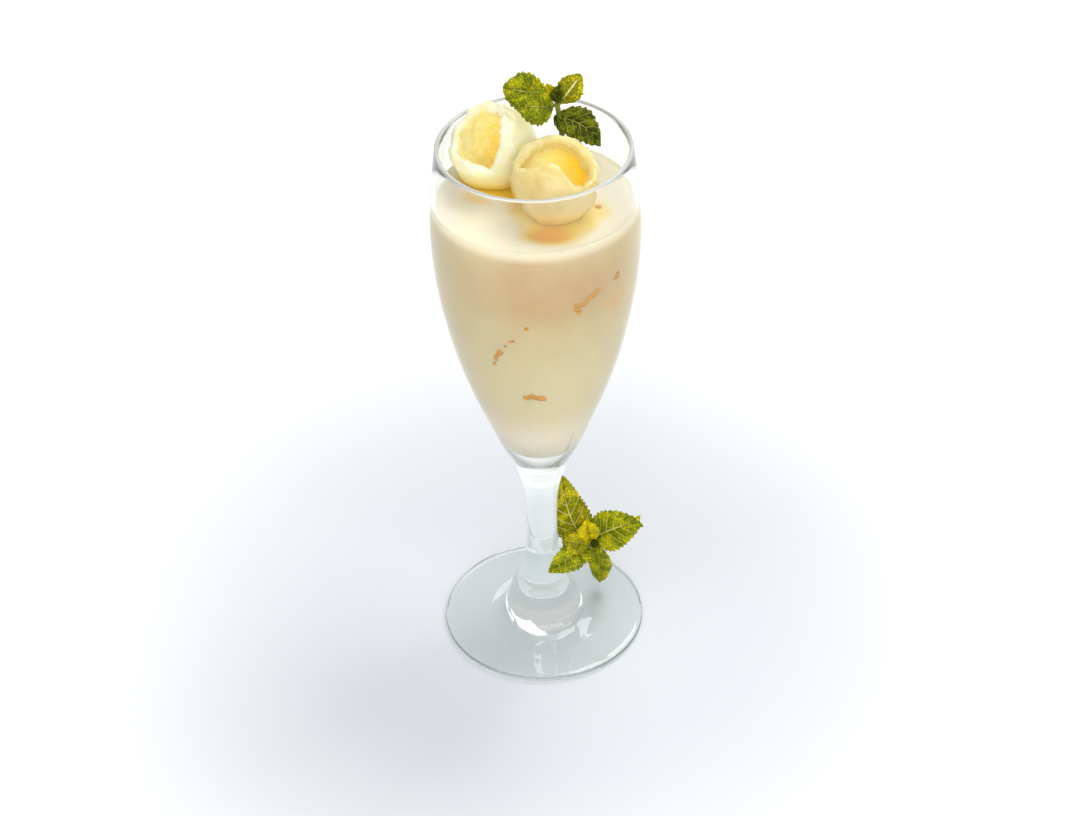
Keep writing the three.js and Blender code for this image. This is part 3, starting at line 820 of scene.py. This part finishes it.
def make_leaf(base, tip, facing, width, widest, bow, cup, sweep=0, notch=0, age="grown"):
    """A leaf from its base to its tip: pointed, toothed and quilted between its sunken veins."""
    base, tip = Vector(base), Vector(tip)
    along = tip - base
    ahead = along.normalized()
    face = Vector(facing) - ahead * Vector(facing).dot(ahead)
    face.normalize()
    across = ahead.cross(face)
    teeth = max(3, round(along.length / LEAF_TOOTH))
    fullness = math.log(0.5) / math.log(widest)
    size = min(width / 10, 1)
    steps, strips = teeth * 8, 32
    deselect_all()
    bpy.ops.mesh.primitive_grid_add(x_subdivisions=steps, y_subdivisions=strips, size=1)
    leaf = named("leaf")
    for vertex in leaf.data.vertices:
        share = min(max(vertex.co.x + 0.5, 0), 1)
        side = vertex.co.y * 2
        edge = abs(side)
        half = width / 2 * max(math.sin(math.pi * share**fullness), 0) ** 0.72
        half = max(half, notch * smoothstep(share, 0.7, 0.9))
        tooth = (share * teeth + 0.25 * noise.noise(base + Vector((share * 9, side, 0)))) % 1
        rise = tooth / TOOTH_PEAK if tooth < TOOTH_PEAK else (1 - tooth) / (1 - TOOTH_PEAK)
        toothed = min(TOOTH_DEPTH * size, 0.4 * half) * (1 - rise) * edge**6
        reach = half * side - math.copysign(toothed, side)
        arch = 4 * share * (1 - share)
        swelling = cup * (0.3 - 3.3 * (edge - 0.55) ** 2) * (2 * half / width)
        wave = LEAF_WAVE * math.sin(share * 19 + 2 * side) * edge
        vein = abs(math.sin(math.pi * SIDE_VEINS * (share - VEIN_SLANT * edge**0.9)))
        pucker = LEAF_PUCKER * (vein**0.7 - 0.6) * size * arch**0.5
        pucker *= smoothstep(edge, 0.0, 0.25) * smoothstep(edge, 1.05, 0.6)
        rib = -MIDRIB_SINKS * math.exp(-((edge / 0.07) ** 2)) * size
        place = base + along * share + across * (sweep * arch + reach)
        place -= ahead * 0.6 * notch * smoothstep(share, 0.8, 1) * (1 - edge)
        place += face * (bow * arch + swelling + wave + pucker + rib)
        near, next_near = noise.voronoi(place / LEAF_CELL)[0][:2]
        place += face * (0.12 * min((next_near - near) / 0.4, 1) + 0.3 * noise.noise(place * 0.5))
        vertex.co = place * MM
    weld()
    thicken = leaf.modifiers.new("thickness", "SOLIDIFY")
    thicken.thickness = LEAF_THICKNESS * MM
    thicken.offset = 0
    bpy.ops.object.modifier_apply(modifier=thicken.name)
    leaf.data.materials.append(bpy.data.materials[age + "_mint_leaf"])
    return leaf


def make_tube(points, radius, end_radius, material="mint_stalk"):
    """A stalk, or anything long of a round section, along a smooth line through the points."""
    deselect_all()
    bpy.ops.curve.primitive_nurbs_path_add(location=(0, 0, 0))
    tube = bpy.context.object
    curve = tube.data
    curve.splines.clear()
    places = spline_points(points, 6)
    spline = curve.splines.new("POLY")
    spline.points.add(len(places) - 1)
    for k, (point, place) in enumerate(zip(spline.points, places)):
        point.co = (*(place * MM), 1)
        point.radius = mix(radius, end_radius, k / (len(places) - 1))
    curve.bevel_depth = MM
    curve.bevel_resolution = 3
    curve.use_fill_caps = True
    bpy.ops.object.convert(target="MESH")
    tube = named("stalk")
    weld()
    tube.data.materials.clear()
    tube.data.materials.append(bpy.data.materials[material])
    return tube


def make_bud(centre, radius):
    """The growing tip: leaflets a few millimetres long, folded over one another."""
    leaflets = []
    for k in range(BUD_LEAFLETS):
        turn = k * GOLDEN_ANGLE
        outward = Vector((math.cos(turn), math.sin(turn), 0)) * (0.25 + 0.06 * k)
        rise = (outward + Vector((0, -0.35, 0.75))).normalized()
        base = Vector(centre) - rise * radius * 0.9 + outward * radius * 0.3
        tip = Vector(centre) + rise * radius * 0.75 + outward * radius * 0.4
        facing = outward + Vector((0, -0.3, 0.3))
        width = radius * 1.3
        leaflets.append(make_leaf(base, tip, facing, width, widest=0.5, bow=0.3, cup=0.4, age="bud"))
    return leaflets


def nearest_on(start, end, point):
    """The place between start and end that is nearest to the point."""
    start, end, point = Vector(start), Vector(end), Vector(point)
    way = end - start
    share = min(max((point - start).dot(way) / way.dot(way), 0), 1)
    return start + way * share


def make_sprig(node, name):
    """A stalk with its leaves, each on its short petiole, and its bud."""
    sprig = SPRIGS[node]
    bud_centre, bud_radius = sprig["bud"]
    pieces = [make_tube(sprig["stalk"], *STALK_RADII)]
    for leaf in sprig["leaves"]:
        joint = nearest_on(sprig["stalk"][-2], bud_centre, leaf["base"])
        into_leaf = Vector(leaf["base"]).lerp(Vector(leaf["tip"]), 0.15)
        into_leaf += Vector(leaf["facing"]).normalized() * (leaf["bow"] * 0.5 - leaf["cup"] * 0.4)
        pieces.append(make_tube([joint, joint.lerp(into_leaf, 0.5), into_leaf], *PETIOLE_RADII))
        pieces.append(make_leaf(**leaf))
    pieces += make_bud(bud_centre, bud_radius)
    piece = join(name, pieces)
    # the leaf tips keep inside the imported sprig's box
    lowest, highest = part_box(node)
    for vertex in piece.data.vertices:
        vertex.co = [min(max(c, low), high) for c, low, high in zip(vertex.co, lowest, highest)]
    shade(piece, 70)
    finish_piece(piece, node)


# ---- stage, light and camera ----
FLOOR_GAP = 0.05  # the floor lies this far under the foot, so that their faces don't coincide
FLOOR_SIZE = 8000
FLOOR_TONES = (60, 0xD5D9DF), (220, 0xFAFBFC)  # distance from the middle, colour: greyer near the middle, where it stands for the plate and for painted shade round the glass, and paler farther away
ROOM_TONES = (0xD2D6D9, 0xFFFFFF)  # at the level of the table and overhead
ROOM_STRENGTH = 0.5
LIGHT_TARGET = (0, 0, 0.1)  # metres
SOFTBOXES = [  # name, place, width and height in metres, watts, colour
    ("key_softbox", (0.4, 0.45, 1.2), 0.8, 0.8, 10, 0xFFFDF8),
    ("fill_softbox", (-0.5, -0.75, 1.1), 1.3, 1.1, 5, 0xFFFFFF),
    ("front_softbox", (0.35, -1.3, 0.75), 2, 1.2, 14, 0xFFFFFF),
]
IMAGE_WIDTH = 1088
CAMERA_PLACE = Vector((0, -602.73, 567.58)) * MM
CAMERA_TARGET = Vector((1.382, 0, 89.6)) * MM
CAMERA_ROLL = -0.02081  # radians
FOCAL_LENGTH = 2410.6  # pixels of the photograph's width
SENSOR_WIDTH = 36


def add_camera():
    deselect_all()
    bpy.ops.object.camera_add(location=CAMERA_PLACE)
    camera = bpy.context.object
    camera.name = "camera"
    ahead = (CAMERA_TARGET - CAMERA_PLACE).normalized()
    right = ahead.cross(UP).normalized()
    above = right.cross(ahead)
    turned_right = math.cos(CAMERA_ROLL) * right + math.sin(CAMERA_ROLL) * above
    turned_above = math.cos(CAMERA_ROLL) * above - math.sin(CAMERA_ROLL) * right
    axes = Matrix((turned_right, turned_above, -ahead)).transposed()
    camera.matrix_world = Matrix.Translation(CAMERA_PLACE) @ axes.to_4x4()
    camera.data.sensor_fit = "HORIZONTAL"
    camera.data.sensor_width = SENSOR_WIDTH
    camera.data.lens = FOCAL_LENGTH / IMAGE_WIDTH * SENSOR_WIDTH
    camera.data.clip_start = 10 * MM
    bpy.context.scene.camera = camera


def add_floor():
    deselect_all()
    bpy.ops.mesh.primitive_plane_add(size=FLOOR_SIZE * MM, location=(0, 0, -FLOOR_GAP * MM))
    floor = named("floor")
    material, tree, shader = new_material("pale_floor", Roughness=0.6, Specular_IOR_Level=0.2)
    (near, grey), (far, white) = FLOOR_TONES
    place = add(tree, "ShaderNodeTexCoord", {}, "Object")
    away = add(tree, "ShaderNodeVectorMath", {0: place}, "Value", operation="LENGTH")
    # painted shade: the floor is greyer towards the middle, round the glass
    share = add(tree, "ShaderNodeMapRange", {0: away, 1: near * MM, 2: far * MM}, **SMOOTH)
    tones = {0: share, 6: linear(grey), 7: linear(white)}
    tone = add(tree, "ShaderNodeMix", tones, 2, **COLOURS)
    tree.links.new(tone, shader.inputs["Base Color"])
    floor.data.materials.append(material)


def add_softbox(name, place, width, height, watts, colour):
    deselect_all()
    bpy.ops.object.light_add(type="AREA", location=place)
    light = bpy.context.object
    light.name = name
    ahead = Vector(LIGHT_TARGET) - Vector(place)
    light.rotation_euler = ahead.to_track_quat("-Z", "Y").to_euler()
    light.data.shape = "RECTANGLE"
    light.data.size = width
    light.data.size_y = height
    light.data.energy = watts
    light.data.color = linear(colour)[:3]


def add_light():
    """A key light high up on the right and slightly behind, a fill on the left, a broad light in
    front, and a pale room."""
    for softbox in SOFTBOXES:
        add_softbox(*softbox)
    world = bpy.data.worlds.new("pale_room")
    bpy.context.scene.world = world
    world.use_nodes = True
    tree = world.node_tree
    background = tree.nodes["Background"]
    direction = add(tree, "ShaderNodeTexCoord", {}, "Generated")
    height = add(tree, "ShaderNodeSeparateXYZ", {0: direction}, "Z")
    share = add(tree, "ShaderNodeMapRange", {0: height, 1: 0.0, 2: 0.6}, **SMOOTH)
    level, overhead = (linear(colour) for colour in ROOM_TONES)
    tones = {0: share, 6: level, 7: overhead}
    tree.links.new(add(tree, "ShaderNodeMix", tones, 2, **COLOURS), background.inputs["Color"])
    background.inputs["Strength"].default_value = ROOM_STRENGTH


# ---- assembly ----
add_camera()
add_floor()
add_light()
bpy.context.scene.view_settings.view_transform = "Standard"

for leaf_age in LEAF_TONES:
    mint_leaf_material(leaf_age)
mint_stalk_material()

make_glass()
make_cream()
make_flecks()
for lychee_name in LYCHEES:
    make_lychee(lychee_name)
make_sprig("mint_sprig_top", "top_mint")
make_sprig("mint_sprig_foot", "foot_mint")
